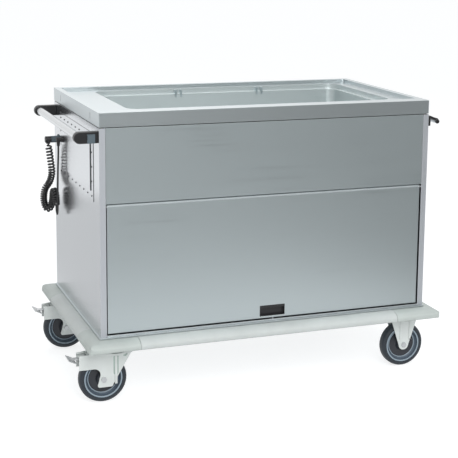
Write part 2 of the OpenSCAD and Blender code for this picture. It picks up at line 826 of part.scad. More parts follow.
// ---- Bumper: four moulded corners and four straight lengths on the base frame
function bumper_outline(out, h) = let (q = 7, low = 11, shelf = 12) concat(
  [[0, 0], [out - q, 0]],
  [for (a = [-60:30:0]) [out - q + q * cos(a), q + q * sin(a)]],
  [for (a = [0:10:90]) [shelf + (out - shelf) * cos(a), low + (h - low - 1) * sin(a)]],
  [[0, h - 1]]);
corner_proud = 1;
corner_r = 22;
module bumper_corner() {
  out = bumper_out + corner_proud;
  rotate([90, 0, 0]) linear_extrude(corner_run) bumper_outline_2d(corner_proud);
  translate([-corner_run, 0, 0]) rotate([90, 0, 90]) linear_extrude(corner_run)
    bumper_outline_2d(corner_proud);
  intersection() {
    translate([0, out, 0]) rotate([90, 0, 0]) linear_extrude(out) bumper_outline_2d(corner_proud);
    rotate([90, 0, 90]) linear_extrude(out) bumper_outline_2d(corner_proud);
    linear_extrude(bumper_h) {
      square([out - corner_r, out]);
      square([out, out - corner_r]);
      translate([out - corner_r, out - corner_r]) circle(corner_r, $fn = 64);
    }
  }
}
module bumper_outline_2d(proud) {
  polygon(bumper_outline(bumper_out + proud, bumper_h));
}
module bumper_corners() {
  color("honeydew") for (sx = [-1, 1]) {
    for (sy = [-1, 1]) {
      translate([(sx < 0) ? panel_l : panel_r, sy * panel_b, bumper_z])
        mirror([(sx < 0) ? 1 : 0, 0, 0]) mirror([0, (sy < 0) ? 1 : 0, 0]) bumper_corner();
    }
  }
}
module bumper_rails() {
  z0 = bumper_z;
  len_x = panel_r - panel_l - 2 * (corner_run + bumper_gap);
  len_y = 2 * panel_b - 2 * (corner_run + bumper_gap);
  color("honeydew") {
    for (sy = [0, 1]) {
      mirror([0, sy, 0]) translate([panel_l + corner_run + bumper_gap, panel_b, z0])
        rotate([90, 0, 90]) linear_extrude(len_x) bumper_outline_2d(0);
    }
    translate([panel_r, len_y / 2, z0]) rotate([90, 0, 0]) linear_extrude(len_y)
      bumper_outline_2d(0);
    translate([panel_l, len_y / 2, z0]) mirror([1, 0, 0]) rotate([90, 0, 0])
      linear_extrude(len_y) bumper_outline_2d(0);
  }
}

// ---- Castors: top plates with the upper ball race on the swivel ones
race_h = 12;
race_d = 86;
race_gap = 0.5;
bolt_d = 14;
plate_hole = 11;
plate_pitch_x = 88;
plate_pitch_y = 80;
plate_low = castor_h - castor_plate_t;
crown_top = plate_low - race_h - race_gap;
crown_t = 8;
module castor_plate(x, y) {
  difference() {
    translate([x, y, plate_low]) round_plate(plate_len, plate_wide, castor_plate_t, 8);
    for (sx = [-1, 1]) {
      for (sy = [-1, 1]) {
        translate([x + sx * plate_pitch_x / 2, y + sy * plate_pitch_y / 2, plate_low - 1])
          cylinder(h = castor_plate_t + 2, d = plate_hole, $fn = 36);
      }
    }
  }
}
module castor_plates() {
  color("lightgray") {
    for (y = [near_y, far_y]) {
      castor_plate(swivel_x, y);
      translate([swivel_x, y, plate_low - race_h]) cylinder(h = race_h, d = race_d, $fn = 72);
      castor_plate(fixed_x, y);
    }
  }
}

// ---- Swivel bolts: hold the forks' crowns up against the races
module swivel_bolts() {
  color("gray") for (y = [near_y, far_y]) {
    translate([swivel_x, y, crown_top - crown_t - race_gap - 6]) {
      cylinder(h = 6, d = 22, $fn = 6);
      cylinder(h = plate_low - race_h - crown_top + crown_t + race_gap + 6, d = bolt_d, $fn = 48);
    }
  }
}

// ---- Swivel forks: pressed crown, two legs and the hood over the back of the wheel
hood_back = 88;
hood_up = 41;
hood_top = crown_top - wheel_r - 4.5;
leg_foot = 29;
arch_r = 22;
arch_x = -34;
leg_heel = 22;
leg_toe = 34;
crown_front = 58;
pivot_dx = -62;
pivot_dz = hood_top - 12;
pivot_d = 8;
module leg_side() {
  top = crown_top - wheel_r;
  front = trail + crown_front;
  difference() {
    union() {
      polygon(concat([[-leg_heel + 8, -leg_foot], [leg_toe - 8, -leg_foot],
        [leg_toe, -leg_foot + 8], [front - 28, 50], [front, top], [-40, top],
        [-hood_back, hood_top], [-hood_back, hood_up]],
        [for (a = [90:-15:-15]) [arch_x + arch_r * cos(a), hood_up - arch_r + arch_r * sin(a)]],
        [[-leg_heel, -leg_foot + 8]]));
      translate([-leg_heel + 8, -leg_foot + 8]) circle(8, $fn = 32);
      translate([leg_toe - 8, -leg_foot + 8]) circle(8, $fn = 32);
    }
    circle(d = axle_d, $fn = 48);
  }
}
module leg_plate(y0) {
  translate([0, y0 + fork_t, wheel_r]) rotate([90, 0, 0]) linear_extrude(fork_t) leg_side();
}
module rib(x, y, z0, z1, d) {
  translate([x, y, z0]) cylinder(h = z1 - z0, d = d, $fn = 24);
}
module swivel_fork(y) {
  crown_low = crown_top - crown_t;
  wide = fork_in + fork_t;
  translate([wheel_x, y, 0]) difference() {
    union() {
      leg_plate(fork_in);
      leg_plate(-fork_in - fork_t);
      block([-40, -wide, crown_low], [trail + crown_front, wide, crown_top]);
      translate([trail, 0, crown_low]) cylinder(h = crown_t, d = race_d + 8, $fn = 72);
      block([-hood_back, -wide, wheel_r + hood_top - fork_t],
            [-40, wide, wheel_r + hood_top]);
      bar_y(pivot_dx, -wide, wide, wheel_r + pivot_dz, pivot_d);
      for (s = [-1, 1]) {
        intersection() {
          rib(trail - 2, s * wide, wheel_r - leg_foot + 10, crown_low, 10);
          block([-100, -wide - 3, 0], [200, wide + 3, 300]);
        }
      }
    }
    translate([trail, 0, crown_low - 1]) cylinder(h = crown_t + 2, d = bolt_d + 2 * run_fit, $fn = 48);
    block([-hood_back - 1, -fork_in, wheel_r - 40], [200, fork_in, crown_low - 20]);
    block([-hood_back - 1, -15, wheel_r + hood_top - 12], [-hood_back + 30, 15, 300]);
  }
}
module fork_front() {
  color("gainsboro") swivel_fork(near_y);
}
module fork_rear() {
  color("gainsboro") swivel_fork(far_y);
}

// ---- Axles: a bolt through both legs with a hexagonal head and nut
module axle(x, y) {
  out = fork_in + fork_t;
  color("gray") {
    bar_y(x, y - out - 6, y + out + 6, wheel_r, axle_d);
    for (y0 = [y - out - 6, y + out]) {
      translate([x, y0 + 6, wheel_r]) rotate([90, 0, 0]) cylinder(h = 6, d = 21, $fn = 6);
    }
  }
}
module axle_front() {
  axle(wheel_x, near_y);
}
module axle_rear() {
  axle(wheel_x, far_y);
}

// ---- Brake pedals: a slanted treadle on an arm from the hood's rivet, with a short shoe
// over the tyre
shoe_h = norm([pivot_dx, pivot_dz]) - wheel_r - 1;
treadle_l = 30;
treadle_t = 3;
treadle_tilt = 26;
arm_wide = 24;
module pedal(y) {
  px = wheel_x + pivot_dx;
  pz = wheel_r + pivot_dz;
  out = px - (end_l - pedal_reach);
  mid = out - treadle_l / 2 * cos(treadle_tilt) - treadle_t / 2 * sin(treadle_tilt);
  color("lightgray") translate([px, y, pz]) difference() {
    union() {
      bar_y(0, -arm_wide / 2, arm_wide / 2, 0, 16);
      block([-6, -arm_wide / 2, -shoe_h], [2, arm_wide / 2, 0]);
      block([-mid, -arm_wide / 2, -5], [0, arm_wide / 2, -1]);
      translate([-mid, 0, -4]) rotate([0, treadle_tilt, 0])
        block([-treadle_l / 2, -pedal_w / 2, -treadle_t / 2],
              [treadle_l / 2, pedal_w / 2, treadle_t / 2]);
    }
    bar_y(0, -arm_wide, arm_wide, 0, pivot_d + 2 * run_fit);
  }
}
module pedal_front() {
  pedal(near_y);
}
module pedal_rear() {
  pedal(far_y);
}

// ---- Fixed forks: tapering legs with two pressed ribs, welded to a short crown
fork_top_w = 114;
fork_foot_r = 20;
module fixed_leg(y0) {
  translate([0, y0 + fork_t, wheel_r]) rotate([90, 0, 0]) linear_extrude(fork_t) difference() {
    union() {
      polygon([[-fork_foot_r + 1, -5], [fork_foot_r - 1, -5],
               [fork_top_w / 2, plate_low - wheel_r], [-fork_top_w / 2, plate_low - wheel_r]]);
      circle(fork_foot_r, $fn = 64);
    }
    circle(d = axle_d, $fn = 48);
  }
}
module fixed_fork(y) {
  wide = fork_in + fork_t;
  translate([fixed_x, y, 0]) {
    fixed_leg(fork_in);
    fixed_leg(-fork_in - fork_t);
    block([-fork_top_w / 2, -wide, plate_low - fork_t], [fork_top_w / 2, wide, plate_low]);
    for (s = [-1, 1]) {
      for (dx = [-15, 24]) {
        intersection() {
          rib(dx, s * wide, wheel_r + 22, plate_low, 8);
          block([-100, -wide - 3, 0], [200, wide + 3, 300]);
        }
      }
    }
  }
}
module fixed_forks() {
  color("gainsboro") {
    fixed_fork(near_y);
    fixed_fork(far_y);
  }
}
module fixed_axles() {
  axle(fixed_x, near_y);
  axle(fixed_x, far_y);
}

// ---- Wheels: moulded rim with ball bearings, and a rubber tyre round it
rim_r = wheel_r - 17;
hub_r = 22;
seat_r = 16;
bearing_w = 10;
web_w = 8;
module turned(x, y) {
  translate([x, y, wheel_r]) rotate([90, 0, 0]) rotate_extrude($fn = 96) children();
}
module rim(x, y) {
  h = wheel_w / 2;
  color("darkslategray") turned(x, y) polygon([
    [seat_r, -h + 1], [hub_r, -h + 1], [hub_r + 3, -web_w / 2], [rim_r - 9, -web_w / 2],
    [rim_r - 5, -h + 2], [rim_r, -h + 2], [rim_r, h - 2], [rim_r - 5, h - 2],
    [rim_r - 9, web_w / 2], [hub_r + 3, web_w / 2], [hub_r, h - 1], [seat_r, h - 1]]);
}
module tyre(x, y) {
  h = wheel_w / 2;
  crown = 12;
  color("dimgray") turned(x, y) polygon(concat(
    [[rim_r, -h + 2], [rim_r + 2, -h]],
    [for (a = [-90:15:0]) [wheel_r - crown + crown * cos(a), -h + crown + crown * sin(a)]],
    [for (a = [0:15:90]) [wheel_r - crown + crown * cos(a), h - crown + crown * sin(a)]],
    [[rim_r + 2, h], [rim_r, h - 2]]));
}
module bearings(x, y) {
  h = wheel_w / 2;
  color("silver") turned(x, y) for (s = [-1, 1]) {
    y0 = s * (h - 1 - bearing_w / 2);
    translate([axle_d / 2 + run_fit, y0 - bearing_w / 2])
      square([seat_r - axle_d / 2 - run_fit, bearing_w]);
  }
}
module rim_front_left() { rim(wheel_x, near_y); }
module rim_rear_left() { rim(wheel_x, far_y); }
module rim_front_right() { rim(fixed_x, near_y); }
module rim_rear_right() { rim(fixed_x, far_y); }
module tyre_front_left() { tyre(wheel_x, near_y); }
module tyre_rear_left() { tyre(wheel_x, far_y); }
module tyre_front_right() { tyre(fixed_x, near_y); }
module tyre_rear_right() { tyre(fixed_x, far_y); }
module bearings_front_left() { bearings(wheel_x, near_y); }
module bearings_rear_left() { bearings(wheel_x, far_y); }
module bearings_front_right() { bearings(fixed_x, near_y); }
module bearings_rear_right() { bearings(fixed_x, far_y); }

worktop();
pan_frame();
well_basin();
bar_hooks();
heating_mats();
insulation();
well_tray();
left_end_panel();
right_end_panel();
front_panel();
rear_panel();
cupboard_floor();
base_frame();
hinge_bushes();
flap_skin();
flap_inner();
flap_pull();
flap_pins();
flap_striker();
push_handle();
push_handle_arms();
arm_inserts();
pull_rail();
rail_hooks();
rail_plugs();
service_cover();
cover_screws();
terminal_block();
parking_socket();
cord_gland();
plug();
cord_curl();
cord_tail();
control_plate();
thermostat_knob();
rocker_switch();
bumper_corners();
bumper_rails();
castor_plates();
swivel_bolts();
fork_front();
fork_rear();
axle_front();
axle_rear();
pedal_front();
pedal_rear();
fixed_forks();
fixed_axles();
rim_front_left();
rim_rear_left();
rim_front_right();
rim_rear_right();
tyre_front_left();
tyre_rear_left();
tyre_front_right();
tyre_rear_right();
bearings_front_left();
bearings_rear_left();
bearings_front_right();
bearings_rear_right();
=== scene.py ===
"""A stainless heated food trolley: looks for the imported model, in metres and in its frame."""
import json
import math

import bmesh
import bpy
import numpy as np
from mathutils import Matrix, Vector

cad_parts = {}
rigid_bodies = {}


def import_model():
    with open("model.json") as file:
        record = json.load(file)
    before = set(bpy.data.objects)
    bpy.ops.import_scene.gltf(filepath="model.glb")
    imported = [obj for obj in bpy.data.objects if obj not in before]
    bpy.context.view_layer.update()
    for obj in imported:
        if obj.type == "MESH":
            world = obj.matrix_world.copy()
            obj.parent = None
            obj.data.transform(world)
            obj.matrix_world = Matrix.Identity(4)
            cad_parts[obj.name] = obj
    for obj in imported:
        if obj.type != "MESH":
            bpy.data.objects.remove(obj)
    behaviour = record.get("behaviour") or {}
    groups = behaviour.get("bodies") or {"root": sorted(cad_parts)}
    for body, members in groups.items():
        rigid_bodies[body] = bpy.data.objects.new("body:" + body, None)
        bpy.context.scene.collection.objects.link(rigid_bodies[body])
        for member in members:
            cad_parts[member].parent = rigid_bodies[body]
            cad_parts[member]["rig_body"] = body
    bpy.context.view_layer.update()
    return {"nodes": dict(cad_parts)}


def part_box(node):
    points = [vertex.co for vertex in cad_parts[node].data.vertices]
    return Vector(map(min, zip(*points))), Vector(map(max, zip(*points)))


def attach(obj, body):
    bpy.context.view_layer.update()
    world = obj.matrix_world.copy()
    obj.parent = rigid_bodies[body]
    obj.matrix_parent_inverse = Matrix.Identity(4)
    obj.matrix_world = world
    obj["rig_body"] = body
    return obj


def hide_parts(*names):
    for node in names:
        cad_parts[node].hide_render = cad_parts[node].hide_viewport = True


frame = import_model()

# ---- Camera: the product photograph's own view, from the front left and a little above,
# with a long lens. The turn, tilt and roll come from the worktop's and the bumper's edges.
view_turn = math.radians(21.224)
view_tilt = math.radians(79.981)
view_roll = math.radians(0.771)
camera_lens = bpy.data.cameras.new("camera")
camera_lens.sensor_width = 36
camera_lens.lens = 98.33
camera_lens.shift_x = -0.0828
camera_lens.shift_y = -0.160
camera = bpy.data.objects.new("camera", camera_lens)
bpy.context.collection.objects.link(camera)
worktop_low, worktop_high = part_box("worktop")
camera.matrix_world = (
    Matrix.Translation((worktop_low.x - 0.9793, worktop_low.y - 4.0934, 1.6391))
    @ Matrix.Rotation(-view_turn, 4, "Z")
    @ Matrix.Rotation(view_tilt, 4, "X")
    @ Matrix.Rotation(view_roll, 4, "Z")
)
bpy.context.scene.camera = camera
bpy.context.scene.view_settings.view_transform = "Standard"


# ---- Studio: a white floor that runs out into a white surround, under three softboxes.
# Grey cards lie in front and at the right and stand behind the camera, and a pale one lies
# beside the left end. The camera can't see them, but the steel mirrors them.
def wire(material, links):
    """Joins sockets, each link given as (node, output, node, input)."""
    for out_node, out_name, in_node, in_name in links:
        material.node_tree.links.new(out_node.outputs[out_name], in_node.inputs[in_name])


def seen_directly(tree):
    """1 for camera, glossy and transmission rays, and 0 for the rays that light things."""
    path = tree.nodes.new("ShaderNodeLightPath")
    first = tree.nodes.new("ShaderNodeMath")
    first.operation = "MAXIMUM"
    second = tree.nodes.new("ShaderNodeMath")
    second.operation = "MAXIMUM"
    tree.links.new(path.outputs["Is Camera Ray"], first.inputs[0])
    tree.links.new(path.outputs["Is Glossy Ray"], first.inputs[1])
    tree.links.new(first.outputs[0], second.inputs[0])
    tree.links.new(path.outputs["Is Transmission Ray"], second.inputs[1])
    return second


def studio_plane(name, corners):
    """A flat stage piece from its four corners, in order round it."""
    mesh = bpy.data.meshes.new(name)
    mesh.from_pydata(corners, [], [(0, 1, 2, 3)])
    plane = bpy.data.objects.new(name, mesh)
    bpy.context.collection.objects.link(plane)
    return plane


floor_reach = 30
floor = studio_plane("studio_floor", [
    (-floor_reach, -floor_reach, 0), (floor_reach, -floor_reach, 0),
    (floor_reach, floor_reach, 0), (-floor_reach, floor_reach, 0),
])
floor_paint = bpy.data.materials.new("floor_paint")
floor_paint.use_nodes = True
floor_tree = floor_paint.node_tree
floor_tree.nodes.clear()
floor_lit = floor_tree.nodes.new("ShaderNodeBsdfDiffuse")
floor_lit.inputs["Color"].default_value = (0.78, 0.78, 0.78, 1)
floor_shade = floor_tree.nodes.new("ShaderNodeBsdfDiffuse")
floor_shade.inputs["Color"].default_value = (0.40, 0.41, 0.42, 1)
floor_glow = floor_tree.nodes.new("ShaderNodeEmission")
floor_glow.inputs["Strength"].default_value = 0.77
floor_white = floor_tree.nodes.new("ShaderNodeAddShader")
floor_mix = floor_tree.nodes.new("ShaderNodeMixShader")
floor_out = floor_tree.nodes.new("ShaderNodeOutputMaterial")
floor_tree.links.new(floor_shade.outputs[0], floor_white.inputs[0])
floor_tree.links.new(floor_glow.outputs[0], floor_white.inputs[1])
floor_tree.links.new(seen_directly(floor_tree).outputs[0], floor_mix.inputs[0])
floor_tree.links.new(floor_lit.outputs[0], floor_mix.inputs[1])
floor_tree.links.new(floor_white.outputs[0], floor_mix.inputs[2])
floor_tree.links.new(floor_mix.outputs[0], floor_out.inputs["Surface"])
floor.data.materials.append(floor_paint)

card_paint = bpy.data.materials.new("card_paint")
card_paint.use_nodes = True
card_shader = card_paint.node_tree.nodes["Principled BSDF"]
card_shader.inputs["Base Color"].default_value = (0.30, 0.31, 0.31, 1)
card_shader.inputs["Roughness"].default_value = 0.9
card_near, card_far = -1.9, -7.5
card_left, card_right = -6, 8
card_lift = 0.004
card_height = 3.5
for card_name, card_corners in {
    "studio_card_low": [
        (card_left, card_far, card_lift), (card_right, card_far, card_lift),
        (card_right, card_near, card_lift), (card_left, card_near, card_lift),
    ],
    "studio_card_right": [
        (0.75, card_near, card_lift), (card_right, card_near, card_lift),
        (card_right, -0.7, card_lift), (1.1, -0.9, card_lift),
    ],
    "studio_card_high": [
        (card_left, card_far, 0), (card_right, card_far, 0),
        (card_right, card_far, card_height), (card_left, card_far, card_height),
    ],
}.items():
    card = studio_plane(card_name, card_corners)
    card.data.materials.append(card_paint)
    card.visible_camera = False
    card.visible_diffuse = False
    card.visible_shadow = False

end_card_lift = 0.006
end_card = studio_plane("studio_card_end", [
    (-3.4, 0.2, end_card_lift), (-0.75, 0.2, end_card_lift),
    (-0.75, 3.1, end_card_lift), (-3.4, 3.1, end_card_lift),
])
end_card_paint = bpy.data.materials.new("end_card_paint")
end_card_paint.use_nodes = True
end_card_shader = end_card_paint.node_tree.nodes["Principled BSDF"]
end_card_shader.inputs["Base Color"].default_value = (0.1, 0.1, 0.1, 1)
end_card_shader.inputs["Roughness"].default_value = 1.0
end_card_shader.inputs["Emission Color"].default_value = (0.97, 0.985, 1, 1)
end_card_shader.inputs["Emission Strength"].default_value = 0.62
end_card.data.materials.append(end_card_paint)
end_card.visible_camera = False
end_card.visible_diffuse = False
end_card.visible_shadow = False

world = bpy.data.worlds.new("surround")
bpy.context.scene.world = world
world.use_nodes = True
world_tree = world.node_tree
world_tree.nodes.clear()
world_fill = world_tree.nodes.new("ShaderNodeBackground")
world_fill.inputs["Color"].default_value = (0.97, 0.99, 1.0, 1)
world_fill.inputs["Strength"].default_value = 0.55
world_white = world_tree.nodes.new("ShaderNodeBackground")
world_white.inputs["Color"].default_value = (1, 1, 1, 1)
world_white.inputs["Strength"].default_value = 1.0
world_mix = world_tree.nodes.new("ShaderNodeMixShader")
world_out = world_tree.nodes.new("ShaderNodeOutputWorld")
world_tree.links.new(seen_directly(world_tree).outputs[0], world_mix.inputs[0])
world_tree.links.new(world_fill.outputs[0], world_mix.inputs[1])
world_tree.links.new(world_white.outputs[0], world_mix.inputs[2])
world_tree.links.new(world_mix.outputs[0], world_out.inputs["Surface"])


def softbox(name, place, aim, size, power):
    """A square area lamp at place, turned to face aim."""
    lamp = bpy.data.lights.new(name, "AREA")
    lamp.shape = "SQUARE"
    lamp.size = size
    lamp.energy = power
    lamp_object = bpy.data.objects.new(name, lamp)
    lamp_object.location = place
    lamp_object.rotation_euler = (Vector(aim) - Vector(place)).to_track_quat("-Z", "Y").to_euler()
    bpy.context.collection.objects.link(lamp_object)


softbox_size = 2.6
softbox("key_softbox", (-0.8, -4.6, 3.4), (0, 0, 0.5), softbox_size, 150)
softbox("fill_softbox", (4.2, -2.4, 3.4), (0, 0, 0.5), softbox_size, 30)
softbox("back_softbox", (0.2, 3.0, 4.2), (0, 0, 0.6), softbox_size, 40)


# ---- Mains lead: one piece of black PVC cable, wound as a curly cord on its middle
# stretch. It hangs from the parked plug in one loop and runs straight up to the gland.
cable_d = 0.0072
curl_d = 0.0285
curl_pitch = (0.0128, 0.0080)
# How much of the tail's route the coil's own end takes the place of
curl_overlap = 0.007
lead_origin = (worktop_low.x, worktop_high.y, worktop_high.z)
# Points from the left end, the back and the worktop's top, in millimetres
curl_route = [
    [-39, -71, -210], [-32, -67, -262], [-25, -60, -325], [-33, -54, -364], [-51, -52, -392],
    [-57, -55, -432], [-49, -62, -465], [-35, -69, -463], [-27, -76, -432], [-26, -84, -402],
    [-24, -98, -392], [-21, -114, -405], [-21, -118, -430], [-21, -118, -452],
]
tail_route = [
    [-21, -118, -448], [-21, -119, -466], [-21, -131, -477], [-22, -145, -470],
    [-22, -150, -445], [-22, -154, -380], [-21, -159, -300], [-20, -166, -240],
    [-20, -170, -203],
]


def eased(points, step):
    """A curve through all the points, metres, resampled at even steps of its length.

    Between two points it is the cubic whose slope at each is half the way between its
    neighbours, worked out for every stretch at once.
    """
    p = np.asarray(points, dtype=float) * 0.001 + lead_origin
    p = np.vstack([p[:1], p, p[-1:]])
    t = np.linspace(0, 1, 24, endpoint=False)[None, :, None]
    a, b, c, d = p[:-3, None], p[1:-2, None], p[2:-1, None], p[3:, None]
    curve = b + 0.5 * t * (c - a + t * (2 * a - 5 * b + 4 * c - d + t * (3 * (b - c) + d - a)))
    curve = np.vstack([curve.reshape(-1, 3), p[-2:-1]])
    run = np.concatenate([[0], np.cumsum(np.linalg.norm(np.diff(curve, axis=0), axis=1))])
    stations = np.linspace(0, run[-1], int(run[-1] / step) + 1)
    return np.stack([np.interp(stations, run, curve[:, k]) for k in range(3)], axis=1), stations


def curled(line, run, radius, pitches):
    """The line of a cable that winds round another line, as a helix.

    The turn angle is the length run over the pitch, summed up, and the winding opens from
    nothing over the first turns and closes over the last. The pitch falls from the first
    value, stretched by the weight below it, to the second.
    """
    tangent = np.gradient(line, run, axis=0)
    tangent /= np.linalg.norm(tangent, axis=1)[:, None]
    side = np.cross(tangent, (0.1, 1, 0.05))
    side /= np.linalg.norm(side, axis=1)[:, None]
    other = np.cross(tangent, side)
    stretched = np.clip((0.16 - run) / 0.08, 0, 1)
    pitch = pitches[1] + (pitches[0] - pitches[1]) * stretched
    angle = np.concatenate([[0], np.cumsum(2 * np.pi * np.diff(run) / pitch[1:])])
    opening = np.clip(run / 0.016, 0, 1) * np.clip((run[-1] - run) / 0.012, 0, 1)
    reach = (radius * opening * opening * (3 - 2 * opening))[:, None]
    return line + reach * (np.cos(angle)[:, None] * side + np.sin(angle)[:, None] * other)


curl_line, curl_run = eased(curl_route, 0.00036)
tail_line, tail_run = eased(tail_route, 0.003)
tail_line = tail_line[tail_run > curl_overlap]
curl_radius = (curl_d - cable_d) / 2
winding = curled(curl_line, curl_run, curl_radius, curl_pitch)
cable_line = np.vstack([tail_line[::-1], winding[::-1]])
cable_steps = np.linalg.norm(np.diff(cable_line, axis=0), axis=1)
cable_line = cable_line[np.concatenate([[True], cable_steps > 0.0004])]

cable_curve = bpy.data.curves.new("mains_lead", "CURVE")
cable_curve.dimensions = "3D"
cable_curve.bevel_depth = cable_d / 2
cable_curve.bevel_resolution = 4
cable_curve.use_fill_caps = True
cable_spline = cable_curve.splines.new("POLY")
cable_spline.points.add(len(cable_line) - 1)
cable_points = np.column_stack([cable_line, np.ones(len(cable_line))])
cable_spline.points.foreach_set("co", cable_points.ravel())
cable_spline.use_smooth = True
mains_lead = bpy.data.objects.new("mains_lead", cable_curve)
bpy.context.collection.objects.link(mains_lead)


def moulded(name, colour, roughness, grain=900, dent=0.15, cloud=0.06):
    """Moulded or extruded plastic: one colour with a faint cloud, and a fine spark grain."""
    material = bpy.data.materials.new(name)
    material.use_nodes = True
    tree = material.node_tree
    shader = tree.nodes["Principled BSDF"]
    place = tree.nodes.new("ShaderNodeTexCoord")
    fine = tree.nodes.new("ShaderNodeTexNoise")
    fine.inputs["Scale"].default_value = grain
    fine.inputs["Detail"].default_value = 2
    broad = tree.nodes.new("ShaderNodeTexNoise")
    broad.inputs["Scale"].default_value = 9
    broad.inputs["Detail"].default_value = 5
    tone = tree.nodes.new("ShaderNodeMapRange")
    tone.inputs["From Min"].default_value = 0.3
    tone.inputs["From Max"].default_value = 0.7
    tint = tree.nodes.new("ShaderNodeMix")
    tint.data_type = "RGBA"
    tint.inputs["A"].default_value = (*[c * (1 - cloud) for c in colour], 1)
    tint.inputs["B"].default_value = (*[min(1, c * (1 + cloud)) for c in colour], 1)
    gloss = tree.nodes.new("ShaderNodeMapRange")
    gloss.inputs["To Min"].default_value = roughness * 0.85
    gloss.inputs["To Max"].default_value = min(1, roughness * 1.2)
    bump = tree.nodes.new("ShaderNodeBump")
    bump.inputs["Strength"].default_value = dent
    bump.inputs["Distance"].default_value = 0.0003
    wire(material, [
        (place, "Object", fine, "Vector"), (place, "Object", broad, "Vector"),
        (broad, "Fac", tone, "Value"), (tone, "Result", tint, "Factor"),
        (tint, "Result", shader, "Base Color"),
        (broad, "Fac", gloss, "Value"), (gloss, "Result", shader, "Roughness"),
        (fine, "Fac", bump, "Height"), (bump, "Normal", shader, "Normal"),
    ])
    return material


lead_pvc = moulded("black_lead_pvc", (0.012, 0.0125, 0.0135), 0.34, grain=700, dent=0.1)
cable_curve.materials.append(lead_pvc)
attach(mains_lead, "cabinet")
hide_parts("cord_curl", "cord_tail")


# ---- Worktop: one sheet of 2 mm stainless steel, folded down into an apron all round and
# pressed with a step inside its rim. Brushed along its length, and welded at the corners.
steel_colour = (0.53, 0.585, 0.605)


def brushed_steel(name, grain, colour=steel_colour, roughness=0.3, depth=0.12, cloud=0.05):
    """Brushed stainless steel: streaks that run along one axis of the object.

    A noise stretched by the grain's three scales gives the brushing, a wider copy of it the
    uneven pressure of the belt, and a soft cloud the handling. Together they change the
    roughness, the tone a little, and the height of the surface.
    """
    material = bpy.data.materials.new(name)
    material.use_nodes = True
    tree = material.node_tree
    shader = tree.nodes["Principled BSDF"]
    shader.inputs["Metallic"].default_value = 1.0
    place = tree.nodes.new("ShaderNodeTexCoord")
    fine_map = tree.nodes.new("ShaderNodeMapping")
    fine_map.inputs["Scale"].default_value = grain
    fine = tree.nodes.new("ShaderNodeTexNoise")
    fine.inputs["Scale"].default_value = 1.0
    fine.inputs["Detail"].default_value = 4
    wide_map = tree.nodes.new("ShaderNodeMapping")
    wide_map.inputs["Scale"].default_value = [g * 0.16 + 0.4 for g in grain]
    wide = tree.nodes.new("ShaderNodeTexNoise")
    wide.inputs["Scale"].default_value = 1.0
    wide.inputs["Detail"].default_value = 3
    soft = tree.nodes.new("ShaderNodeTexNoise")
    soft.inputs["Scale"].default_value = 3.2
    soft.inputs["Detail"].default_value = 4
    streak = tree.nodes.new("ShaderNodeMath")
    streak.operation = "MULTIPLY_ADD"
    streak.inputs[1].default_value = 0.55
    both = tree.nodes.new("ShaderNodeMath")
    both.operation = "MULTIPLY_ADD"
    both.inputs[1].default_value = 0.8
    tone = tree.nodes.new("ShaderNodeMapRange")
    tone.inputs["From Min"].default_value = 0.45
    tone.inputs["From Max"].default_value = 1.0
    tint = tree.nodes.new("ShaderNodeMix")
    tint.data_type = "RGBA"
    tint.inputs["A"].default_value = (*[c * (1 - cloud) for c in colour], 1)
    tint.inputs["B"].default_value = (*[min(1, c * (1 + cloud)) for c in colour], 1)
    gloss = tree.nodes.new("ShaderNodeMapRange")
    gloss.inputs["From Min"].default_value = 0.4
    gloss.inputs["From Max"].default_value = 1.05
    gloss.inputs["To Min"].default_value = roughness * 0.78
    gloss.inputs["To Max"].default_value = roughness * 1.25
    bump = tree.nodes.new("ShaderNodeBump")
    bump.inputs["Strength"].default_value = depth
    bump.inputs["Distance"].default_value = 0.00012
    wire(material, [
        (place, "Object", fine_map, "Vector"), (fine_map, "Vector", fine, "Vector"),
        (place, "Object", wide_map, "Vector"), (wide_map, "Vector", wide, "Vector"),
        (place, "Object", soft, "Vector"),
        (soft, "Fac", both, 0), (wide, "Fac", both, 2),
        (fine, "Fac", streak, 0), (both, "Value", streak, 2),
        (streak, "Value", tone, "Value"), (tone, "Result", tint, "Factor"),
        (tint, "Result", shader, "Base Color"),
        (streak, "Value", gloss, "Value"), (gloss, "Result", shader, "Roughness"),
        (fine, "Fac", bump, "Height"), (bump, "Normal", shader, "Normal"),
    ])
    return material


def dressed(piece, material, *nodes):
    """Gives a new piece its material and the body of the nodes it stands for, and hides them."""
    if material:
        piece.data.materials.clear()
        piece.data.materials.append(material)
    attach(piece, frame["nodes"][nodes[0]]["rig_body"])
    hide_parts(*nodes)
    return piece


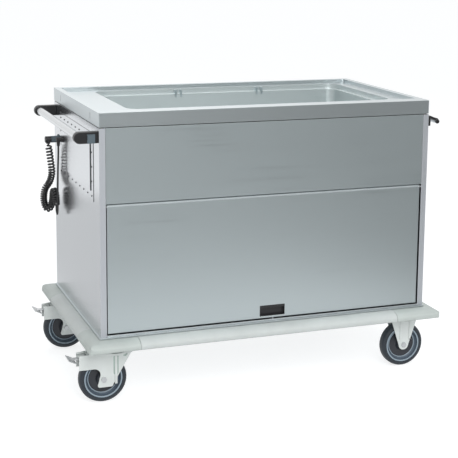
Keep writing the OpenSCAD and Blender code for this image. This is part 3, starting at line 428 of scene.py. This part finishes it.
def folded(node, material, bend=0.0008, segments=2, angle=30, accents=()):
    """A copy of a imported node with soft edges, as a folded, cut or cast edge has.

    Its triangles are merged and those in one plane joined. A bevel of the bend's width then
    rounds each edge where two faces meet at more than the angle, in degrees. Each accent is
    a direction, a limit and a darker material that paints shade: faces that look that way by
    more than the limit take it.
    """
    mesh = frame["nodes"][node].data.copy()
    for extra in ("custom_normal", "sharp_edge", "sharp_face"):
        if extra in mesh.attributes:
            mesh.attributes.remove(mesh.attributes[extra])
    shape = bmesh.new()
    shape.from_mesh(mesh)
    bmesh.ops.remove_doubles(shape, verts=shape.verts, dist=0.00002)
    bmesh.ops.dissolve_limit(
        shape, angle_limit=math.radians(0.6), verts=shape.verts, edges=shape.edges
    )
    shape.normal_update()
    for face in shape.faces:
        face.smooth = True
        face.material_index = 0
        for number, (way, limit, _) in enumerate(accents):
            if face.normal.dot(Vector(way)) > limit:
                face.material_index = number + 1
    mesh.materials.clear()
    for finish in [material] + [finish for _, _, finish in accents]:
        mesh.materials.append(finish)
    shape.to_mesh(mesh)
    shape.free()
    piece = bpy.data.objects.new(node + "_finished", mesh)
    bpy.context.collection.objects.link(piece)
    soft_edge = piece.modifiers.new("edges", "BEVEL")
    soft_edge.width = bend
    soft_edge.segments = segments
    soft_edge.limit_method = "ANGLE"
    soft_edge.angle_limit = math.radians(angle)
    soft_edge.harden_normals = True
    soft_edge.use_clamp_overlap = False
    return dressed(piece, None, node)


steel_along = brushed_steel("steel_brushed_along", (5, 900, 900), colour=(0.52, 0.562, 0.575))
folded("worktop", steel_along)

# ---- Pan frame and well: an upright frame under the worktop, and a deep basin whose ledge
# is welded inside it, with bent hooks for the bars. All are satin stainless steel.
drawn_steel = brushed_steel(
    "steel_drawn", (14, 14, 320), colour=(0.60, 0.645, 0.65), roughness=0.34, cloud=0.06
)
folded("pan_frame", drawn_steel)
folded("well_basin", drawn_steel)
folded("bar_hooks", brushed_steel("steel_tabs", (60, 60, 600), roughness=0.22), bend=0.0005)

# ---- Heating mats: three flat silicone mats glued under the basin, one below each pan's
# place, moulded with the weave of the press cloth.
mat_silicone = moulded("red_silicone", (0.30, 0.035, 0.03), 0.6, grain=420, dent=0.4)
folded("heating_mats", mat_silicone)

# ---- Insulation: a tray of mineral wool board round the basin, yellow, with short fibres
# that lie flat and make the surface rough.
wool = moulded("mineral_wool", (0.55, 0.46, 0.20), 0.95, grain=240, dent=1.0, cloud=0.22)
folded("insulation", wool, bend=0.002)

# ---- Well tray: the folded stainless sheet under the insulation, which is also the
# cupboard's ceiling.
folded("well_tray", steel_along)


# ---- End panels: polished stainless sheet with a boxed stile at the front and a return at
# the rear, spot-welded to the base frame. The left one mirrors what hangs before it.
steel_polished = brushed_steel(
    "steel_polished", (700, 6, 700), colour=(0.57, 0.59, 0.612), roughness=0.15, depth=0.05
)
# The stiles' front faces take a rougher steel, brushed upright and darker than the sides: painted
# shade.
stile_steel_painted_shade = brushed_steel(
    "steel_stile_painted_shade", (800, 800, 6), colour=(0.515, 0.535, 0.565), roughness=0.46, depth=0.1
)
stile_shade_faces = ((0, -1, 0), 0.9, stile_steel_painted_shade)
folded("left_end_panel", steel_polished, accents=[stile_shade_faces])
folded("right_end_panel", steel_polished, accents=[stile_shade_faces])

# ---- Front and rear panels: brushed stainless sheet with folded edges, set between the
# end panels' stiles and returns.
steel_front = brushed_steel(
    "steel_brushed_front", (7, 700, 700), colour=(0.488, 0.54, 0.553), roughness=0.34
)
folded("front_panel", steel_front)
folded("rear_panel", steel_front)

# ---- Cupboard floor and base frame: a folded floor tray on a frame welded of square
# tubes and two cross boxes, with a thin flange all round under the panels.
folded("cupboard_floor", steel_along)
folded("base_frame", steel_along, bend=0.0012)

# ---- Flap: an outer skin with a rolled top edge, an inner skin and a black recessed pull.
# It turns on two steel pins in bored bushes behind the stiles.
hardware_steel = brushed_steel(
    "steel_hardware", (260, 260, 260), colour=(0.50, 0.51, 0.52), roughness=0.36, cloud=0.1
)
# The flap's upward faces, on its rolled edge, take a darker, rougher steel: painted shade under
# the front panel's bottom edge.
rolled_edge_painted_shade = brushed_steel(
    "steel_rolled_edge_painted_shade", (7, 700, 700), colour=(0.36, 0.395, 0.405), roughness=0.5
)
folded("flap_skin", steel_front, accents=[((0, 0, 1), 0.22, rolled_edge_painted_shade)])
folded("flap_inner", steel_along, bend=0.0004)
pull_black = moulded("black_pull", (0.012, 0.012, 0.014), 0.42, grain=700, dent=0.2)
folded("flap_pull", pull_black)
folded("flap_pins", hardware_steel, bend=0.0006)
folded("flap_striker", hardware_steel, bend=0.0003)
folded("hinge_bushes", hardware_steel)


# ---- Push handle: a satin stainless tube held between two moulded arms, which are screwed
# to the stiles. Each arm has a rounded nose, a sunk oval on its outer face and a grey insert.
tube_steel = brushed_steel(
    "steel_tube", (400, 30, 400), colour=(0.60, 0.62, 0.635), roughness=0.2
)
black_moulded = moulded("black_moulding", (0.012, 0.012, 0.013), 0.4, grain=500, dent=0.25)
blue_grey = moulded("blue_grey_moulding", (0.085, 0.115, 0.135), 0.45, grain=500, dent=0.2)
folded("push_handle", tube_steel)
folded("push_handle_arms", black_moulded, bend=0.0022, segments=3)
folded("arm_inserts", blue_grey, bend=0.0006)


def skin(name, grid, wrap_rows=False, wrap_columns=True, caps=False):
    """A surface through a grid of points, rows by columns by three, or through several.

    Each square of neighbouring points is a face. Rows and columns can close on themselves,
    and caps shut the first and the last row.
    """
    grids = [np.asarray(g, dtype=float) for g in (grid if isinstance(grid, list) else [grid])]
    faces = []
    base = 0
    for points in grids:
        rows, columns = points.shape[:2]
        u = np.arange(rows if wrap_rows else rows - 1)[:, None]
        v = np.arange(columns if wrap_columns else columns - 1)[None, :]
        u1, v1 = (u + 1) % rows, (v + 1) % columns
        corners = [u * columns + v, u * columns + v1, u1 * columns + v1, u1 * columns + v]
        faces += (base + np.stack(corners, axis=-1).reshape(-1, 4)).tolist()
        if caps:
            faces.append((base + np.arange(columns)[::-1]).tolist())
            faces.append((base + (rows - 1) * columns + np.arange(columns)).tolist())
        base += rows * columns
    mesh = bpy.data.meshes.new(name)
    mesh.from_pydata(np.concatenate([g.reshape(-1, 3) for g in grids]), [], faces)
    shape = bmesh.new()
    shape.from_mesh(mesh)
    bmesh.ops.remove_doubles(shape, verts=shape.verts, dist=0.000005)
    bmesh.ops.recalc_face_normals(shape, faces=shape.faces)
    for face in shape.faces:
        face.smooth = True
    shape.to_mesh(mesh)
    shape.free()
    mesh.set_sharp_from_angle(angle=math.radians(40))
    piece = bpy.data.objects.new(name, mesh)
    bpy.context.collection.objects.link(piece)
    return piece


# ---- Arm lips: the raised lip round the sunk oval on each arm's outer face, of the same
# black plastic and moulded with it.
def oval_lip(centre, half_length, radius, thick, outward, steps=64):
    """A round bead carried along an oval: two half circles joined by straight sides."""
    turn = np.linspace(0, 2 * np.pi, steps, endpoint=False)
    path_x = centre[0] + np.sign(np.cos(turn)) * half_length + radius * np.cos(turn)
    path_z = centre[2] + radius * np.sin(turn)
    around = np.linspace(0, 2 * np.pi, 8, endpoint=False)[None, :]
    x = path_x[:, None] + thick * np.cos(around) * np.cos(turn)[:, None]
    z = path_z[:, None] + thick * np.cos(around) * np.sin(turn)[:, None]
    y = centre[1] + outward * thick * 0.7 * np.sin(around) + 0 * x
    return np.stack([x, y, z], axis=-1)


arm_low, arm_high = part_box("push_handle_arms")
lip_x = arm_low.x + 0.029
lip_z = (arm_low.z + arm_high.z) / 2
lip_sunk = 0.0008
lip_shape = {"half_length": 0.007, "radius": 0.0115, "thick": 0.0014}
arm_lips = skin("arm_lips", [
    oval_lip((lip_x, arm_low.y + lip_sunk, lip_z), outward=-1, **lip_shape),
    oval_lip((lip_x, arm_high.y - lip_sunk, lip_z), outward=1, **lip_shape),
], wrap_rows=True)
arm_lips.data.materials.append(black_moulded)
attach(arm_lips, "cabinet")

# ---- Pull rail: a slim stainless tube under two hooked brackets on the right end, with a
# black plug in each end.
folded("pull_rail", tube_steel)
folded("rail_hooks", black_moulded, bend=0.0012)
folded("rail_plugs", black_moulded, bend=0.002, segments=3)

# ---- Service cover: a shallow pressed sheet over the wiring in the left end, with its edge
# faces painted near black as shade lines, held by rows of round-headed screws near them.
# Faces that look down, forward or up take a near-black steel: painted shade along the cover's
# steps.
cover_edge_painted_shade = brushed_steel(
    "steel_cover_edge_painted_shade", (500, 500, 500), colour=(0.11, 0.115, 0.12), roughness=0.5, cloud=0.1
)
shade_line_faces = [(way, 0.5, cover_edge_painted_shade) for way in ((0, 0, -1), (0, -1, 0), (0, 0, 1))]
folded("service_cover", steel_polished, bend=0.0003, accents=shade_line_faces)
screw_low, screw_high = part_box("cover_screws")
head_r = 0.003
head_h = 0.002


def screw_heads(places):
    """Low domes with a round socket: rings of the profile (radius, height) at every place."""
    profile = np.array([
        [head_r, 0], [head_r, 0.0006], [head_r * 0.8, head_h * 0.8], [head_r * 0.5, head_h],
        [head_r * 0.42, head_h], [head_r * 0.4, head_h * 0.3], [0.00002, head_h * 0.3],
    ])
    turn = np.linspace(0, 2 * np.pi, 16, endpoint=False)[None, :]
    ring = np.stack([
        -profile[:, 1:] + 0 * turn, profile[:, :1] * np.cos(turn), profile[:, :1] * np.sin(turn),
    ], axis=-1)
    return [ring + place for place in places]


screw_x = screw_low.x + head_h
first_y, last_y = screw_low.y + head_r, screw_high.y - head_r
first_z, last_z = screw_low.z + head_r, screw_high.z - head_r
screws_long, screws_high = 9, 5
screw_places = [
    np.array([screw_x, y, z])
    for y in np.linspace(first_y, last_y, screws_long) for z in (first_z, last_z)
] + [
    np.array([screw_x, y, z])
    for z in np.linspace(first_z, last_z, screws_high)[1:-1] for y in (first_y, last_y)
]
screw_steel = brushed_steel(
    "steel_screw", (900, 900, 900), colour=(0.07, 0.072, 0.075), roughness=0.5, cloud=0.15
)
dressed(skin("cover_screw_heads", screw_heads(screw_places)), screw_steel, "cover_screws")

# ---- Terminal block: an ivory moulded block of screw terminals behind the cover, where the
# lead meets the mats' wires.
terminal_plastic = moulded("ivory_moulding", (0.62, 0.58, 0.47), 0.5, grain=400, dent=0.15)
folded("terminal_block", terminal_plastic)

# ---- Parking socket, plug and gland: a grey socket on the end panel that holds the plug
# when the trolley is under way, and a black elbow gland where the lead comes out.
folded("parking_socket", blue_grey, bend=0.001)
folded("cord_gland", black_moulded, bend=0.001)
parked_plug = folded("plug", black_moulded, bend=0.0012)

# ---- Controls: a stainless plate let into the rear panel, with a black thermostat knob and
# a green rocker switch.
folded("control_plate", steel_along, bend=0.0006)
folded("thermostat_knob", black_moulded, bend=0.001)
rocker_green = moulded("green_rocker", (0.03, 0.26, 0.08), 0.3, grain=500, dent=0.1)
folded("rocker_switch", rocker_green, bend=0.0008)

# ---- Bumper: grey moulded lengths all round the base frame, with four greener mitred
# corners. Each has a convex top that falls to a low rounded nose.
bumper_plastic = moulded("bumper_plastic", (0.56, 0.595, 0.585), 0.5, grain=420, dent=0.2)
corner_plastic = moulded("corner_plastic", (0.50, 0.545, 0.525), 0.5, grain=420, dent=0.25)
folded("bumper_rails", bumper_plastic, bend=0.0008)
folded("bumper_corners", corner_plastic, bend=0.0012)

# ---- Castors: pressed steel plates, forks and pedals, zinc-plated pale, with hexagonal
# bolts. The crown turns on a ball race, and the fork's sides have pressed ribs.
zinc = moulded("zinc_plated", (0.70, 0.735, 0.72), 0.34, grain=260, dent=0.12, cloud=0.06)
zinc.node_tree.nodes["Principled BSDF"].inputs["Metallic"].default_value = 0.25
# The pressed ribs take a darker, greener copy of the zinc: painted shade for the pressings.
rib_zinc_painted_shade = moulded("zinc_rib_painted_shade", (0.36, 0.44, 0.405), 0.3, grain=260, dent=0.12, cloud=0.1)
rib_zinc_painted_shade.node_tree.nodes["Principled BSDF"].inputs["Metallic"].default_value = 0.35
for node in ("castor_plates", "fork_front", "fork_rear", "fixed_forks"):
    folded(node, zinc, bend=0.0008)


def pressed_rib(centre, outward, length, half_width, rise=0.0028):
    """A wide flat rib with sloped sides and ends, pressed out of an upright plate.

    Its height over the plate is the rise times a smooth step of the distance inwards from
    its outline, an upright strip with round ends, and it ends flat on the plate.
    """
    across = np.linspace(-1, 1, 17)[None, :] * half_width
    up = np.linspace(-1, 1, 49)[:, None] * (length / 2)
    over = np.maximum(np.abs(up) - (length / 2 - half_width), 0)
    inside = np.clip((half_width - np.hypot(across, over)) / (0.42 * half_width), 0, 1)
    height = rise * inside * inside * (3 - 2 * inside) - 0.0002
    return np.stack([
        centre[0] + across + 0 * up, centre[1] + outward * height, centre[2] + up + 0 * across,
    ], axis=-1)


# Each rib's way ahead of the axle, height, length and half width
rib_places = [(0.044, 0.148, 0.100, 0.0095), (0.077, 0.182, 0.036, 0.0085)]
leg_face = 0.026
for which in ("front", "rear"):
    fork_low, fork_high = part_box("fork_" + which)
    bolt_low, bolt_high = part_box("axle_" + which)
    axle_x = (bolt_low.x + bolt_high.x) / 2
    fork_y = (fork_low.y + fork_high.y) / 2
    ribs = skin(f"fork_ribs_{which}", [
        pressed_rib((axle_x + ahead, fork_y + side * leg_face, up), side, length, half)
        for ahead, up, length, half in rib_places for side in (-1, 1)
    ], wrap_columns=False)
    ribs.data.materials.append(rib_zinc_painted_shade)
    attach(ribs, "castor_" + which)
for node in ("swivel_bolts", "axle_front", "axle_rear", "fixed_axles"):
    folded(node, hardware_steel, bend=0.0007)
for node in ("pedal_front", "pedal_rear"):
    folded(node, hardware_steel, bend=0.0006)

# ---- Wheels: a moulded rim with two raised pale rings, a blue-grey band between them and
# a ball bearing each side, and a dark rubber tyre moulded round it.
rim_plastic = moulded("rim_plastic", (0.022, 0.025, 0.032), 0.4)
ring_plastic = moulded("ring_plastic", (0.30, 0.37, 0.43), 0.45, grain=300, dent=0.15)
band_plastic = moulded("band_plastic", (0.085, 0.115, 0.15), 0.45, grain=300, dent=0.15)
tyre_rubber = moulded("tyre_rubber", (0.016, 0.023, 0.032), 0.5, grain=600, dent=0.35)


def turned_about_axle(profile, centre, steps=96):
    """A closed ring of section: the point (r, w) at angle a is centre + (r cos a, w, r sin a)."""
    r, w = np.asarray(profile, dtype=float).T * 0.001
    a = np.linspace(0, 2 * np.pi, steps, endpoint=False)[None, :]
    return np.stack([
        centre[0] + r[:, None] * np.cos(a), centre[1] + w[:, None] + 0 * a,
        centre[2] + r[:, None] * np.sin(a),
    ], axis=-1)


# Half sections in millimetres: radius and distance from the wheel's middle plane
tyre_half = [
    (69, 18), (69.8, 19.4), (71, 20), (74, 20), (77, 19.4), (77.6, 18.9), (78.2, 19.2),
    (80.2, 18.4), (82.8, 16.2), (84.6, 13.2), (85.6, 10.2), (86, 7),
]
rim_half = [
    (16, 19), (21, 19), (22, 18), (22.6, 12), (25, 5.4), (27, 4), (49, 4), (51, 4.4),
    (52, 5.6), (55, 5.6), (56.2, 4.4), (58, 5), (61.5, 9), (63.2, 15.5), (64, 18), (69, 18),
]
ring_halves = [
    [(63.6, 16.8), (63.9, 18.2), (65, 18.9), (68, 18.9), (68.9, 18.2), (68.9, 16.8)],
    [(51.6, 5.0), (52, 6.3), (52.8, 6.8), (54.2, 6.8), (55, 6.3), (55.4, 5.0)],
]
band_half = [(56, 4.3), (58, 5.3), (61.2, 9.2), (63, 15.8), (63, 14), (61, 8), (58, 4.4)]
for where in ("front_left", "rear_left", "front_right", "rear_right"):
    low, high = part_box("tyre_" + where)
    hub = ((low + high) / 2)[:]
    for name, half, paint in (("tyre", tyre_half, tyre_rubber), ("rim", rim_half, rim_plastic)):
        grid = turned_about_axle(half + [(r, -w) for r, w in half[::-1]], hub)
        dressed(skin(f"wheel_{name}_{where}", grid, wrap_rows=True), paint, f"{name}_{where}")
    for name, halves, paint in (
        ("rings", ring_halves, ring_plastic), ("band", [band_half], band_plastic)
    ):
        rings = skin(f"wheel_{name}_{where}", [
            turned_about_axle([(r, side * w) for r, w in half], hub)
            for half in halves for side in (-1, 1)
        ], wrap_rows=True)
        rings.data.materials.append(paint)
        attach(rings, frame["nodes"]["rim_" + where]["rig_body"])
    folded("bearings_" + where, hardware_steel)
